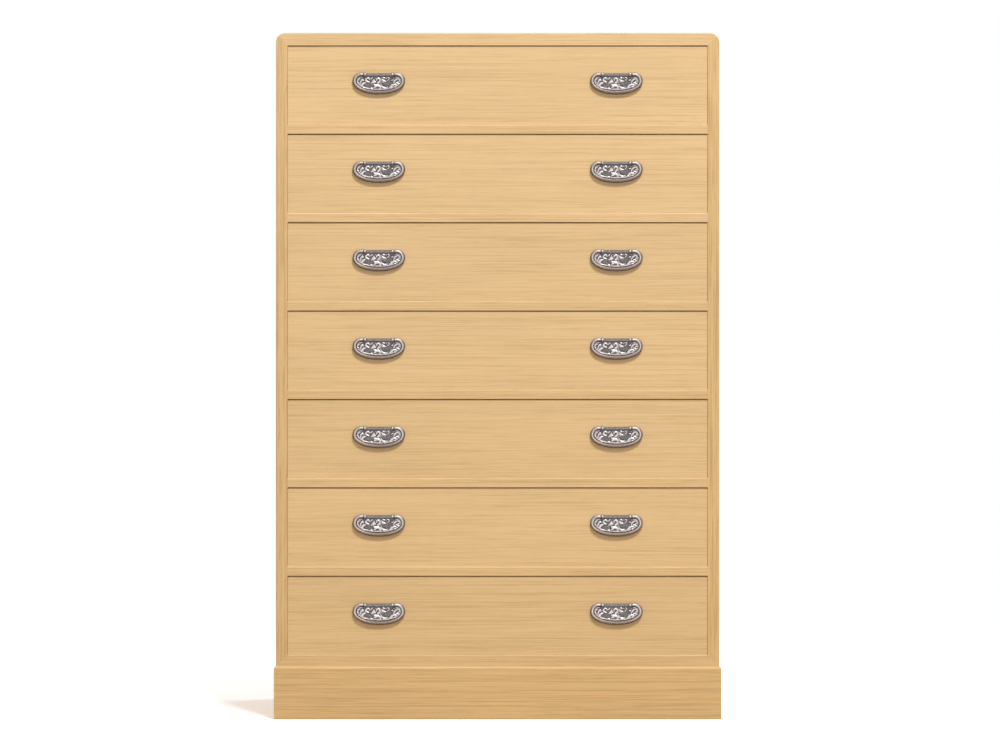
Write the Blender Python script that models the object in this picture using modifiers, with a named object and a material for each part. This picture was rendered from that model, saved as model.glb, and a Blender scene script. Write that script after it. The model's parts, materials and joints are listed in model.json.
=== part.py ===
"""Obi chest: a mitred case of pale straight-grained wood on a plinth, with equal drawers and drop pulls.

Metres, +Z up. The front faces -Y. The origin is the middle of the plinth's foot, on the floor.
"""

from math import copysign, cos, pi, radians, sin

import bmesh
import bpy
from mathutils import Vector

# Case
BODY_WIDTH = 0.743
BODY_DEPTH = 0.440
SIDE_THICKNESS = 0.0195
TOP_THICKNESS = 0.0213
BOTTOM_THICKNESS = 0.0189
CORNER_RADIUS = 0.016
EDGE_CHAMFER = 0.0010
BACK_THICKNESS = 0.008
BACK_REBATE = 0.009

# Bays and the shelves between them
DRAWER_COUNT = 7
BAY_HEIGHT = 0.1322
SHELF_THICKNESS = 0.0159
HOUSING_DEPTH = 0.006
HOUSING_STOP = 0.014

# Plinth
PLINTH_HEIGHT = 0.089
PLINTH_OVERHANG = 0.0035
PLINTH_THICKNESS = 0.020
PLINTH_CHAMFER = 0.0033

# Drawers
FRONT_THICKNESS = 0.020
FRONT_LIP = 0.009
FRONT_RECESS = 0.002
FRONT_SIDE_GAP = 0.0005
FRONT_TOP_GAP = 0.0008
TRAY_SIDE_THICKNESS = 0.012
TRAY_BACK_THICKNESS = 0.011
TRAY_BOTTOM_THICKNESS = 0.007
TRAY_SIDE_GAP = 0.0015
TRAY_TOP_DROP = 0.0045
TRAY_BACK_GAP = 0.0006

# Pulls, drawn flat with X to the right, Y up and Z out of the drawer, and the hinge along X through 0, 0, 0
PULL_SPACING = 0.398
PULL_RISE = 0.0180
PULL_WIDTH = 0.0880
PULL_DROP = 0.0338
PULL_CORNER_RADIUS = 0.011
PULL_FULLNESS = 2.1
BAIL_RADIUS = 0.0029
BAIL_FOOT_RADIUS = 0.0031
BAIL_ARM = 0.0041
BAIL_SHOULDER = 0.0003
BAIL_BACK_GAP = 0.0012
PIN_RADIUS = 0.0009
PIN_LENGTH = 0.0040
PIN_CLEARANCE = 0.0003
POST_RADIUS = 0.0025
POST_CROWN = 0.0033
POST_CLEARANCE = 0.0004
PLATE_THICKNESS = 0.0024
PLATE_CLEARANCE = 0.0008
PLATE_EDGE_CHAMFER = 0.0006
PLATE_BAR_RISE = 0.0018
SCREW_RADIUS = 0.0020
SCREW_CLEARANCE = 0.0003
SCREW_HEAD_RADIUS = 0.0040
SCREW_HEAD_HEIGHT = 0.0024

# Clearance left between pieces that touch
JOINT_GAP = 0.0003

# Facets of the round shapes, and how far a cutter runs past what it cuts
CORNER_FACETS = 6
POST_FACETS = 8
DOME_FACETS = 3
BAIL_CORNER_FACETS = 3
BAIL_BOW_FACETS = 12
CUT_PAST = 0.010
SAME_PLACE = 1e-6
FLAT_ANGLE = radians(0.5)
SHARP_ANGLE = radians(40)

# Worked out from the sizes above
PLINTH_WIDTH = BODY_WIDTH + 2 * PLINTH_OVERHANG
PLINTH_DEPTH = BODY_DEPTH + PLINTH_OVERHANG
FRONT_Y = -PLINTH_DEPTH / 2 + PLINTH_OVERHANG
BACK_Y = PLINTH_DEPTH / 2
PANEL_Y = BACK_Y - BACK_THICKNESS
SIDE_X = BODY_WIDTH / 2
BAY_X = SIDE_X - SIDE_THICKNESS
FLOOR_Z = PLINTH_HEIGHT + BOTTOM_THICKNESS
BAY_PITCH = BAY_HEIGHT + SHELF_THICKNESS
CEILING_Z = FLOOR_Z + DRAWER_COUNT * BAY_PITCH - SHELF_THICKNESS
TOP_Z = CEILING_Z + TOP_THICKNESS
FRONT_WIDTH = 2 * (BAY_X - FRONT_SIDE_GAP)
FRONT_HEIGHT = BAY_HEIGHT - FRONT_TOP_GAP - JOINT_GAP
TRAY_X = BAY_X - TRAY_SIDE_GAP
TRAY_HEIGHT = FRONT_HEIGHT - TRAY_TOP_DROP
DRAWER_LENGTH = PANEL_Y - TRAY_BACK_GAP - FRONT_Y - FRONT_RECESS
HINGE_Z = FRONT_HEIGHT / 2 + PULL_RISE
HINGE_STANDOFF = BAIL_BACK_GAP + BAIL_FOOT_RADIUS
BAIL_X = PULL_WIDTH / 2 - BAIL_RADIUS
BAIL_FOOT = PULL_DROP - BAIL_FOOT_RADIUS
BAIL_CORNER_X = BAIL_X - PULL_CORNER_RADIUS
SHOULDER_X = BAIL_CORNER_X - BAIL_ARM
PIVOT_X = SHOULDER_X - POST_CLEARANCE - POST_RADIUS
PIN_TIP_X = SHOULDER_X - PIN_LENGTH
SCREW_HOLE_RADIUS = SCREW_RADIUS + SCREW_CLEARANCE

# The round at the case's upper corners stays inside the boards that it is cut from
CORNER_ROUND = min(CORNER_RADIUS, min(SIDE_THICKNESS, TOP_THICKNESS) - 2 * EDGE_CHAMFER)


def clear_scene():
    for thing in list(bpy.data.objects):
        bpy.data.objects.remove(thing)


def new_collection(name):
    collection = bpy.data.collections.new(name)
    bpy.context.scene.collection.children.link(collection)
    return collection


def make_material(name, colour, roughness, metallic):
    material = bpy.data.materials.new(name)
    material.use_nodes = True
    shader = material.node_tree.nodes["Principled BSDF"]
    shader.inputs["Base Color"].default_value = (*colour, 1.0)
    shader.inputs["Roughness"].default_value = roughness
    shader.inputs["Metallic"].default_value = metallic
    return material


def bay_floor(number):
    """Height of the floor under drawer number, counted from the top."""
    return FLOOR_Z + (DRAWER_COUNT - number) * BAY_PITCH


def add_piece(name, data, material, parent=None, location=(0, 0, 0)):
    """One named part of the chest."""
    piece = bpy.data.objects.new(name, data)
    piece.location = location
    piece.parent = parent
    if not data.materials:
        data.materials.append(material)
    CHEST.objects.link(piece)
    return piece


def add_empty(name, location, parent=None, rotation=(0, 0, 0)):
    empty = bpy.data.objects.new(name, None)
    empty.location = location
    empty.rotation_euler = rotation
    empty.parent = parent
    empty.empty_display_size = 0.02
    CHEST.objects.link(empty)
    return empty


def add_box(shape, low, high):
    """Adds a box between two corners to a bmesh."""
    low, high = Vector(low), Vector(high)
    verts = bmesh.ops.create_cube(shape, size=1.0)["verts"]
    bmesh.ops.scale(shape, vec=high - low, verts=verts)
    bmesh.ops.translate(shape, vec=(low + high) / 2, verts=verts)


def box(low, high):
    """A box between two corners, as a bmesh of its own."""
    shape = bmesh.new()
    add_box(shape, low, high)
    return shape


def on_plane(axis, value):
    """A test of whether an edge lies in the plane where that coordinate has that value."""
    return lambda edge: all(abs(v.co[axis] - value) < SAME_PLACE for v in edge.verts)


def longer_than(length):
    """A test of whether an edge is longer than that."""
    return lambda edge: edge.calc_length() > length


def bevel(shape, width, segments, *tests):
    """Bevels the edges that pass every test: one segment gives a chamfer, more give a round."""
    edges = [edge for edge in shape.edges if all(test(edge) for test in tests)]
    bmesh.ops.bevel(
        shape, geom=edges, offset=width, segments=segments, profile=0.5, affect="EDGES"
    )


def slice_off(shape, point, normal):
    """Cuts away what lies past the plane, keeps half a joint gap back from it, and closes the cut."""
    normal = Vector(normal).normalized()
    geometry = shape.verts[:] + shape.edges[:] + shape.faces[:]
    cut = bmesh.ops.bisect_plane(
        shape,
        geom=geometry,
        dist=SAME_PLACE,
        plane_co=Vector(point) - normal * JOINT_GAP / 2,
        plane_no=normal,
        clear_outer=True,
    )
    rim = [item for item in cut["geom_cut"] if isinstance(item, bmesh.types.BMEdge)]
    bmesh.ops.contextual_create(shape, geom=rim)


def to_mesh(shape, name, origin=(0, 0, 0)):
    """The bmesh as a mesh whose own origin is at that point."""
    bmesh.ops.translate(shape, vec=-Vector(origin), verts=shape.verts)
    bmesh.ops.recalc_face_normals(shape, faces=shape.faces)
    mesh = bpy.data.meshes.new(name)
    shape.to_mesh(mesh)
    shape.free()
    mesh.shade_smooth()
    mesh.set_sharp_from_angle(angle=SHARP_ANGLE)
    return mesh


def add_board(name, shape, material):
    """A fixed board, drawn in place, with its origin at the middle of its box."""
    corners = [v.co for v in shape.verts]
    low = Vector(min(c[i] for c in corners) for i in range(3))
    high = Vector(max(c[i] for c in corners) for i in range(3))
    middle = (low + high) / 2
    return add_piece(name, to_mesh(shape, name, middle), material, location=middle)


def add_cutter(name, shape):
    """A helper that cuts or joins other pieces and is not a part itself."""
    cutter = bpy.data.objects.new(name, to_mesh(shape, name))
    cutter.hide_render = True
    cutter.display_type = "WIRE"
    CUTTERS.objects.link(cutter)
    return cutter


def combine(piece, other, operation):
    modifier = piece.modifiers.new(other.name, "BOOLEAN")
    modifier.operation = operation
    modifier.object = other


def evaluated_mesh(piece, name):
    """A new mesh with the piece's modifiers applied."""
    bpy.context.view_layer.update()
    graph = bpy.context.evaluated_depsgraph_get()
    mesh = bpy.data.meshes.new_from_object(piece.evaluated_get(graph))
    mesh.name = name
    return mesh


def drill(shape, radius, start, run):
    """Adds a round bar to a cutter, from a point and along a run."""
    run = Vector(run)
    bar = bmesh.ops.create_cone(
        shape,
        cap_ends=True,
        segments=POST_FACETS,
        radius1=radius,
        radius2=radius,
        depth=run.length,
    )["verts"]
    turn = run.to_track_quat("Z", "Y").to_matrix()
    bmesh.ops.rotate(shape, cent=(0, 0, 0), matrix=turn, verts=bar)
    bmesh.ops.translate(shape, vec=Vector(start) + run / 2, verts=bar)


def extruded(points, low, high):
    """A flat outline in XY, given thickness from one height to the other, as a bmesh."""
    curve = bpy.data.curves.new("outline", "CURVE")
    curve.dimensions = "2D"
    curve.fill_mode = "BOTH"
    curve.extrude = (high - low) / 2
    spline = curve.splines.new("POLY")
    spline.points.add(len(points) - 1)
    for point, (x, y) in zip(spline.points, points):
        point.co = (x, y, 0, 1)
    spline.use_cyclic_u = True
    drawing = bpy.data.objects.new("outline", curve)
    CUTTERS.objects.link(drawing)
    mesh = evaluated_mesh(drawing, "outline")
    shape = bmesh.new()
    shape.from_mesh(mesh)
    bpy.data.objects.remove(drawing)
    bpy.data.meshes.remove(mesh)
    bmesh.ops.remove_doubles(shape, verts=shape.verts, dist=SAME_PLACE)
    bmesh.ops.dissolve_limit(
        shape, angle_limit=FLAT_ANGLE, verts=shape.verts, edges=shape.edges
    )
    bmesh.ops.translate(shape, vec=(0, 0, (low + high) / 2), verts=shape.verts)
    bmesh.ops.recalc_face_normals(shape, faces=shape.faces)
    return shape


def mitre(side, upper):
    """Point and normal of a case corner's mitre: it runs from the bay's corner to the case's corner.

    The normal points from the side board into the top or bottom board."""
    thickness = TOP_THICKNESS if upper else BOTTOM_THICKNESS
    way = 1 if upper else -1
    point = (side * BAY_X, 0, CEILING_Z if upper else FLOOR_Z)
    return point, Vector((-side * thickness, 0, way * SIDE_THICKNESS))


def make_case(wood):
    """Two sides, a top and a bottom, mitred at the corners, with the upper outer corners rounded."""
    panel_room = add_cutter(
        "back_panel_room",
        box(
            (-BAY_X - BACK_REBATE, PANEL_Y - JOINT_GAP, FLOOR_Z - BACK_REBATE),
            (BAY_X + BACK_REBATE, BACK_Y + CUT_PAST, CEILING_Z + BACK_REBATE),
        ),
    )
    housings = bmesh.new()
    end_x = BAY_X + HOUSING_DEPTH
    stop_y = FRONT_Y + HOUSING_STOP - JOINT_GAP
    for number in range(1, DRAWER_COUNT):
        top = bay_floor(number) + JOINT_GAP
        bottom = bay_floor(number) - SHELF_THICKNESS - JOINT_GAP
        add_box(housings, (-end_x, stop_y, bottom), (end_x, PANEL_Y + JOINT_GAP, top))
    housing_room = add_cutter("shelf_housings", housings)

    in_front = on_plane(1, FRONT_Y)
    for name, side in (("left_side", -1), ("right_side", 1)):
        edges = sorted((side * BAY_X, side * SIDE_X))
        shape = box((edges[0], FRONT_Y, PLINTH_HEIGHT), (edges[1], BACK_Y, TOP_Z))
        outer_top = (on_plane(0, side * SIDE_X), on_plane(2, TOP_Z))
        bevel(shape, CORNER_ROUND, CORNER_FACETS, *outer_top)
        bevel(shape, EDGE_CHAMFER, 1, in_front)
        for upper in (True, False):
            slice_off(shape, *mitre(side, upper))
        board = add_board(name, shape, wood)
        combine(board, housing_room, "DIFFERENCE")
        combine(board, panel_room, "DIFFERENCE")

    for name, upper in (("top_board", True), ("bottom_board", False)):
        low = CEILING_Z if upper else PLINTH_HEIGHT
        high = TOP_Z if upper else FLOOR_Z
        shape = box((-SIDE_X, FRONT_Y, low), (SIDE_X, BACK_Y, high))
        if upper:
            for side in (-1, 1):
                outer_top = (on_plane(0, side * SIDE_X), on_plane(2, TOP_Z))
                bevel(shape, CORNER_ROUND, CORNER_FACETS, *outer_top)
        bevel(shape, EDGE_CHAMFER, 1, in_front)
        for side in (-1, 1):
            point, normal = mitre(side, upper)
            slice_off(shape, point, -normal)
        combine(add_board(name, shape, wood), panel_room, "DIFFERENCE")


def make_back_panel(wood):
    """The panel that sits in the rebates behind the case."""
    reach = BACK_REBATE - JOINT_GAP
    low = (-BAY_X - reach, PANEL_Y, FLOOR_Z - reach)
    high = (BAY_X + reach, BACK_Y, CEILING_Z + reach)
    add_board("back_panel", box(low, high), wood)


def make_shelves(wood):
    """Shelves whose ends are housed in the sides, behind a front edge that fits between them."""
    edge_x = BAY_X - JOINT_GAP
    end_x = BAY_X + HOUSING_DEPTH - JOINT_GAP
    stop_y = FRONT_Y + HOUSING_STOP
    rear_y = PANEL_Y - JOINT_GAP
    right = [(edge_x, FRONT_Y), (edge_x, stop_y), (end_x, stop_y), (end_x, rear_y)]
    shape = extruded(right + mirrored(right), -SHELF_THICKNESS, 0)
    bevel(shape, EDGE_CHAMFER, 1, on_plane(1, FRONT_Y), longer_than(edge_x))
    mesh = to_mesh(shape, "shelf")
    for number in range(1, DRAWER_COUNT):
        place = (0, 0, bay_floor(number))
        add_piece(f"shelf_{number}", mesh, wood, location=place)


def make_plinth(wood):
    """Four boards under the case: the front and the sides are mitred, and the back fits between them."""
    outer_x = PLINTH_WIDTH / 2
    front_y = -PLINTH_DEPTH / 2
    inner_x = outer_x - PLINTH_THICKNESS
    height = PLINTH_HEIGHT - JOINT_GAP
    top_edge = on_plane(2, height)

    front = box((-outer_x, front_y, 0), (outer_x, front_y + PLINTH_THICKNESS, height))
    bevel(front, PLINTH_CHAMFER, 1, top_edge, on_plane(1, front_y))
    for name, side in (("plinth_left", -1), ("plinth_right", 1)):
        mitre_point = (side * outer_x, front_y, 0)
        towards_side = Vector((side, 1, 0))
        slice_off(front, mitre_point, towards_side)
        edges = sorted((side * inner_x, side * outer_x))
        shape = box((edges[0], front_y, 0), (edges[1], BACK_Y, height))
        bevel(shape, PLINTH_CHAMFER, 1, top_edge, on_plane(0, side * outer_x))
        slice_off(shape, mitre_point, -towards_side)
        add_board(name, shape, wood)
    add_board("plinth_front", front, wood)

    back_x = inner_x - JOINT_GAP
    back = box((-back_x, BACK_Y - PLINTH_THICKNESS, 0), (back_x, BACK_Y, height))
    add_board("plinth_back", back, wood)


def front_mesh():
    """A drawer front: a lip that fills the bay, and a thicker middle that fits inside the tray.

    Drawn from the middle of its lower front edge, with holes for the pulls' screws."""
    lip = box((-FRONT_WIDTH / 2, 0, 0), (FRONT_WIDTH / 2, FRONT_LIP, FRONT_HEIGHT))
    bevel(lip, EDGE_CHAMFER, 1, on_plane(1, 0))
    core_x = TRAY_X - TRAY_SIDE_THICKNESS - JOINT_GAP
    core_low = (-core_x, FRONT_LIP / 2, TRAY_BOTTOM_THICKNESS + JOINT_GAP)
    core = box(core_low, (core_x, FRONT_THICKNESS, FRONT_HEIGHT))
    holes = bmesh.new()
    for pull_x in (-PULL_SPACING / 2, PULL_SPACING / 2):
        for pivot_x in (-PIVOT_X, PIVOT_X):
            mouth = (pull_x + pivot_x, -CUT_PAST, HINGE_Z)
            drill(holes, SCREW_HOLE_RADIUS, mouth, (0, FRONT_THICKNESS + 2 * CUT_PAST, 0))
    blank = add_cutter("front_blank", lip)
    combine(blank, add_cutter("front_core", core), "UNION")
    combine(blank, add_cutter("screw_holes", holes), "DIFFERENCE")
    return evaluated_mesh(blank, "drawer_front")


def tray_mesh():
    """Sides, back and bottom of a drawer, behind the front's lip and open at the top."""
    outer = box((-TRAY_X, FRONT_LIP + JOINT_GAP, 0), (TRAY_X, DRAWER_LENGTH, TRAY_HEIGHT))
    inner_x = TRAY_X - TRAY_SIDE_THICKNESS
    inner = box(
        (-inner_x, FRONT_LIP - CUT_PAST, TRAY_BOTTOM_THICKNESS),
        (inner_x, DRAWER_LENGTH - TRAY_BACK_THICKNESS, TRAY_HEIGHT + CUT_PAST),
    )
    blank = add_cutter("tray_blank", outer)
    combine(blank, add_cutter("tray_inside", inner), "DIFFERENCE")
    return evaluated_mesh(blank, "drawer_tray")


def bow(half_width, depth, top):
    """Points of the pull's lower curve from right to left: half of a slightly full ellipse."""
    points = []
    for step in range(BAIL_BOW_FACETS + 1):
        angle = pi * step / BAIL_BOW_FACETS
        across = copysign(abs(cos(angle)) ** (2 / PULL_FULLNESS), cos(angle))
        down = abs(sin(angle)) ** (2 / PULL_FULLNESS)
        points.append((half_width * across, top - depth * down))
    return points


def corner(inset):
    """Points of the pull's upper right corner, a quarter circle from its top to its side, set in by that."""
    radius = PULL_CORNER_RADIUS - inset
    points = []
    for step in range(BAIL_CORNER_FACETS + 1):
        angle = pi / 2 * (1 - step / BAIL_CORNER_FACETS)
        points.append((BAIL_CORNER_X + radius * cos(angle), radius * sin(angle) - PULL_CORNER_RADIUS))
    return points


def mirrored(right):
    """The left half's points, in the order that follows on from the right half's."""
    return [(-x, *rest) for x, *rest in reversed(right)]


def bail_curve():
    """The swinging loop: pins in the posts, straight arms, round corners and a thicker bow below."""
    top = -PULL_CORNER_RADIUS
    depth = BAIL_FOOT - PULL_CORNER_RADIUS
    right = [(PIN_TIP_X, 0, PIN_RADIUS), (SHOULDER_X, 0, PIN_RADIUS)]
    right.append((SHOULDER_X + BAIL_SHOULDER, 0, BAIL_RADIUS))
    right += [(x, y, BAIL_RADIUS) for x, y in corner(0)[:-1]]
    middle = []
    for x, y in bow(BAIL_X, depth, top):
        swell = (BAIL_FOOT_RADIUS - BAIL_RADIUS) * ((top - y) / depth) ** 2
        middle.append((x, y, BAIL_RADIUS + swell))
    path = right + middle + mirrored(right)

    curve = bpy.data.curves.new("bail", "CURVE")
    curve.dimensions = "3D"
    curve.bevel_depth = BAIL_RADIUS
    curve.bevel_resolution = 2
    curve.use_fill_caps = True
    spline = curve.splines.new("POLY")
    spline.points.add(len(path) - 1)
    for point, (x, y, radius) in zip(spline.points, path):
        point.co = (x, y, 0, 1)
        point.radius = radius / BAIL_RADIUS
    return curve


def plate_outline():
    """The back plate's outline: clear of the bail all round, with a bar between the posts above."""
    inset = BAIL_RADIUS + PLATE_CLEARANCE
    right = [(PIVOT_X, PLATE_BAR_RISE), (PIVOT_X, -inset)] + corner(inset)[:-1]
    depth = BAIL_FOOT - BAIL_FOOT_RADIUS - PLATE_CLEARANCE - PULL_CORNER_RADIUS
    return right + bow(BAIL_X - inset, depth, -PULL_CORNER_RADIUS) + mirrored(right)


def post_profile():
    """Half section of a post and its screw, from the crown of the knob down to the screw's head."""
    back = -HINGE_STANDOFF
    head_top = back - FRONT_THICKNESS - JOINT_GAP
    angles = [pi / 2 * step / DOME_FACETS for step in range(DOME_FACETS + 1)]
    dome_foot = POST_CROWN - POST_RADIUS
    dome = [(POST_RADIUS * sin(a), dome_foot + POST_RADIUS * cos(a)) for a in angles]
    dome[0] = (0, POST_CROWN)
    in_plate = back + JOINT_GAP + PLATE_THICKNESS / 2
    return dome + [
        (POST_RADIUS, in_plate),
        (SCREW_RADIUS, in_plate),
        (SCREW_RADIUS, head_top),
        (SCREW_HEAD_RADIUS, head_top),
        (SCREW_HEAD_RADIUS, head_top - SCREW_HEAD_HEIGHT),
        (0, head_top - SCREW_HEAD_HEIGHT),
    ]


def turned(name, profile, x):
    """A helper turned about an axis along Z at that X."""
    mesh = bpy.data.meshes.new(name)
    points = [(radius, 0, height) for radius, height in profile]
    mesh.from_pydata(points, [(i, i + 1) for i in range(len(points) - 1)], [])
    piece = bpy.data.objects.new(name, mesh)
    piece.location = (x, 0, 0)
    piece.hide_render = True
    piece.display_type = "WIRE"
    CUTTERS.objects.link(piece)
    screw = piece.modifiers.new("turn", "SCREW")
    screw.axis = "Z"
    screw.steps = POST_FACETS
    screw.render_steps = POST_FACETS
    screw.use_merge_vertices = True
    screw.merge_threshold = SAME_PLACE
    return piece


def plate_mesh():
    """The back plate with its two posts, the holes for the bail's pins, and the screws behind it."""
    back = JOINT_GAP - HINGE_STANDOFF
    face = back + PLATE_THICKNESS
    shape = extruded(plate_outline(), back, face)
    bevel(shape, PLATE_EDGE_CHAMFER, 1, on_plane(2, face))
    blank = add_cutter("plate_blank", shape)
    pin_room = bmesh.new()
    for side in (-1, 1):
        mouth = side * (SHOULDER_X + CUT_PAST)
        end = side * (PIN_TIP_X - PIN_CLEARANCE)
        drill(pin_room, PIN_RADIUS + PIN_CLEARANCE, (mouth, 0, 0), (end - mouth, 0, 0))
    pin_cutter = add_cutter("pin_holes", pin_room)
    for side in (-1, 1):
        combine(blank, turned("post", post_profile(), side * PIVOT_X), "UNION")
    combine(blank, pin_cutter, "DIFFERENCE")
    mesh = evaluated_mesh(blank, "pull_plate")
    mesh.set_sharp_from_angle(angle=SHARP_ANGLE)
    return mesh


def make_drawers(front_wood, tray_wood, plate_metal, bail_metal):
    """Each drawer's pieces hang on one empty that slides, and each bail turns about its own origin."""
    front = front_mesh()
    tray = tray_mesh()
    plate = plate_mesh()
    bail = bail_curve()
    for number in range(1, DRAWER_COUNT + 1):
        place = (0, FRONT_Y + FRONT_RECESS, bay_floor(number) + JOINT_GAP)
        drawer = add_empty(f"drawer_{number}", place)
        add_piece(f"drawer_{number}_front", front, front_wood, drawer)
        add_piece(f"drawer_{number}_tray", tray, tray_wood, drawer)
        for name, side in (("left", -1), ("right", 1)):
            hinge = (side * PULL_SPACING / 2, -HINGE_STANDOFF, HINGE_Z)
            pull = add_empty(f"pull_{number}_{name}", hinge, drawer, (pi / 2, 0, 0))
            add_piece(f"pull_{number}_{name}_plate", plate, plate_metal, pull)
            add_piece(f"pull_{number}_{name}_bail", bail, bail_metal, pull)


clear_scene()
CHEST = new_collection("obi_chest")
CUTTERS = new_collection("cutters")
CASE_WOOD = make_material("case wood", (0.66, 0.45, 0.21), 0.55, 0.0)
FRONT_WOOD = make_material("drawer front wood", (0.74, 0.53, 0.28), 0.55, 0.0)
TRAY_WOOD = make_material("drawer box wood", (0.76, 0.60, 0.38), 0.7, 0.0)
PANEL_WOOD = make_material("back panel wood", (0.70, 0.52, 0.30), 0.7, 0.0)
PLATE_METAL = make_material("pull plate metal", (0.42, 0.41, 0.42), 0.4, 1.0)
BAIL_METAL = make_material("bail metal", (0.45, 0.43, 0.45), 0.35, 1.0)
make_case(CASE_WOOD)
make_back_panel(PANEL_WOOD)
make_shelves(CASE_WOOD)
make_plinth(CASE_WOOD)
make_drawers(FRONT_WOOD, TRAY_WOOD, PLATE_METAL, BAIL_METAL)
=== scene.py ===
"""Looks of the obi chest: boards with fine straight grain, drawer boxes, and cast drop pulls.

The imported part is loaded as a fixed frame. Each piece here is a surface worked out with numpy from the
frame's sizes, and rides on the body that it belongs to. Metres, +Z up, and the front faces -Y.
"""

import json
from math import pi, radians

import bmesh
import bpy
import numpy as np
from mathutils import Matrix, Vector

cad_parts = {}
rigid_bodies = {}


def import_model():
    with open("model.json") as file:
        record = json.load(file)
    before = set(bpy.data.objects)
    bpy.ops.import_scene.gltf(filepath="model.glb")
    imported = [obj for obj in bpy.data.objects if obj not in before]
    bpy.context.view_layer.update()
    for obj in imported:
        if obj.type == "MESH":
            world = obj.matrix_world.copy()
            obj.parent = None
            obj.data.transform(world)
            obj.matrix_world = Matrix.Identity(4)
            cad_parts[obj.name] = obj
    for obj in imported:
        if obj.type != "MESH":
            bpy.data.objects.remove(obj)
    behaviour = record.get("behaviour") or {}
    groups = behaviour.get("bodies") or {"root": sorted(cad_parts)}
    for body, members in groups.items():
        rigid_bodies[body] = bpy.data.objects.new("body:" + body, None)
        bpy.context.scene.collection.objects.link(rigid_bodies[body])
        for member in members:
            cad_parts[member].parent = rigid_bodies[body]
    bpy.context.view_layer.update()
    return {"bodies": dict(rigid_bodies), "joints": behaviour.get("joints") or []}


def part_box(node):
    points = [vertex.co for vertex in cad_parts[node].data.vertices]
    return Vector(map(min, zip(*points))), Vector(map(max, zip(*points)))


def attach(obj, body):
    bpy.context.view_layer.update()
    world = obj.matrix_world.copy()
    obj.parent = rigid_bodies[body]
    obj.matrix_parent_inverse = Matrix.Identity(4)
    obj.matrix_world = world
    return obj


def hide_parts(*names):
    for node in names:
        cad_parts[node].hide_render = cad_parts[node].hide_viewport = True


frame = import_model()

bl_info = {
    "name": "Obi chest looks",
    "version": (1, 0, 0),
    "blender": (4, 5, 0),
    "location": "3D View > Sidebar > Chest",
    "description": "Dresses the packed obi chest in wood and worn metal",
    "category": "Object",
}

SIDES = (("left", -1), ("right", 1))
X, Y, Z = range(3)
MM = 0.001
WHITE = (1, 1, 1, 1)

# The photograph's frame and scale, and the width of the camera's sensor in millimetres
PHOTO_WIDTH = 1000
PHOTO_MM_PER_PIXEL = 1.6752
SENSOR_WIDTH = 36.0

# Facets of curved shapes
CORNER_FACETS = 24
EASE_FACETS = 3
BOW_POINTS = 480
BAIL_RINGS = 150
SHOULDER_RINGS = 6
SECTION_POINTS = 28
KNOB_POINTS = 32
DOME_RINGS = 9
STROKE_STEPS = 18
PLATE_COLUMNS = 341
PLATE_ROWS = 100
FLOOR_POINTS = 96

# Points nearer than this are one, and an edge that turns by more than this stays sharp
SAME_PLACE = 1e-6
SHARP_ANGLE = radians(38)

# Colour sockets of a Mix node
MIX_FIRST, MIX_SECOND, MIX_RESULT = 6, 7, 2

# Sizes that the frame's boxes don't give, as in the part's source: the pulls', and the gap of a joint
PULL_CORNER = 0.011
PULL_FULLNESS = 2.1
BAIL_RADIUS = 0.0029
BAIL_FOOT_RADIUS = 0.0031
BAIL_ARM = 0.0041
PIN_RADIUS = 0.0009
PIN_LENGTH = 0.0040
POST_RADIUS = 0.0025
POST_CROWN = 0.0033
POST_CLEARANCE = 0.0004
PLATE_BAR_RISE = 0.0018
HINGE_STANDOFF = 0.0043
JOINT_GAP = 0.0003

# Gaps shown finer than the part's own, so that their dark lines are as thin as photographed
REST_GAP = 0.00005
PLATE_CLEARANCE = 0.0003

# Shares of a piece's easing on its lesser edges
REAR_EASE = 0.6
LIP_FOOT_EASE = 0.1
BOX_END_EASE = 0.3
PLINTH_EASES = (1, 0.5, 0.5, 0.2, 0.2)
PLINTH_BACK_EASE = 0.5

# An edge of a case board belongs to a mitre where it runs this share of the rebate both across and up
MITRE_SHARE = 0.4

# Knob posts: their necks' rings as radius in parts of the post's, height over the hinge line and wear, then
# the wear of their domes, the angle from a dome's pole to its cap, and the wear of the screws' heads
KNOB_NECK = ((1.24, -0.0034, 0.1), (1.24, -0.0014, 0.4), (0.92, -0.0009, 0.2), (0.90, 0.0001, 0.5))
DOME_WEAR = 0.74
DOME_CAP_ANGLE = 0.06
SCREW_WEAR = 0.6

# Length of the bail's shoulder in parts of the growth of its radius there
SHOULDER_RUN = 0.5

# Cross section of the bail in parts of its radius: outwards from the loop, out of the drawer, and the wear
# there at the bail's arms, sides and foot. This wear is partly real rubbing and partly painted light: it is
# brighter where the section faces up to the lamps above, a painted highlight on the arms' outer edges, and
# darker where it faces down, painted shade on the foot's outer underside
BAIL_SECTION = (
    (-0.90, -0.60, 0.05, 0.22, 0.30),
    (-1.00, 0.05, 0.06, 0.38, 0.40),
    (-0.88, 0.58, 0.22, 0.54, 0.30),
    (-0.50, 0.97, 0.32, 0.86, 0.29),
    (-0.08, 0.94, 0.42, 0.66, 0.25),
    (0.30, 0.74, 0.62, 0.38, 0.20),
    (0.66, 0.38, 0.80, 0.18, 0.12),
    (0.94, -0.10, 0.80, 0.03, 0.05),
    (0.90, -0.62, 0.20, 0.00, 0.00),
    (0.48, -0.94, 0.00, 0.00, 0.00),
    (-0.48, -0.94, 0.00, 0.00, 0.00),
)

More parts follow.
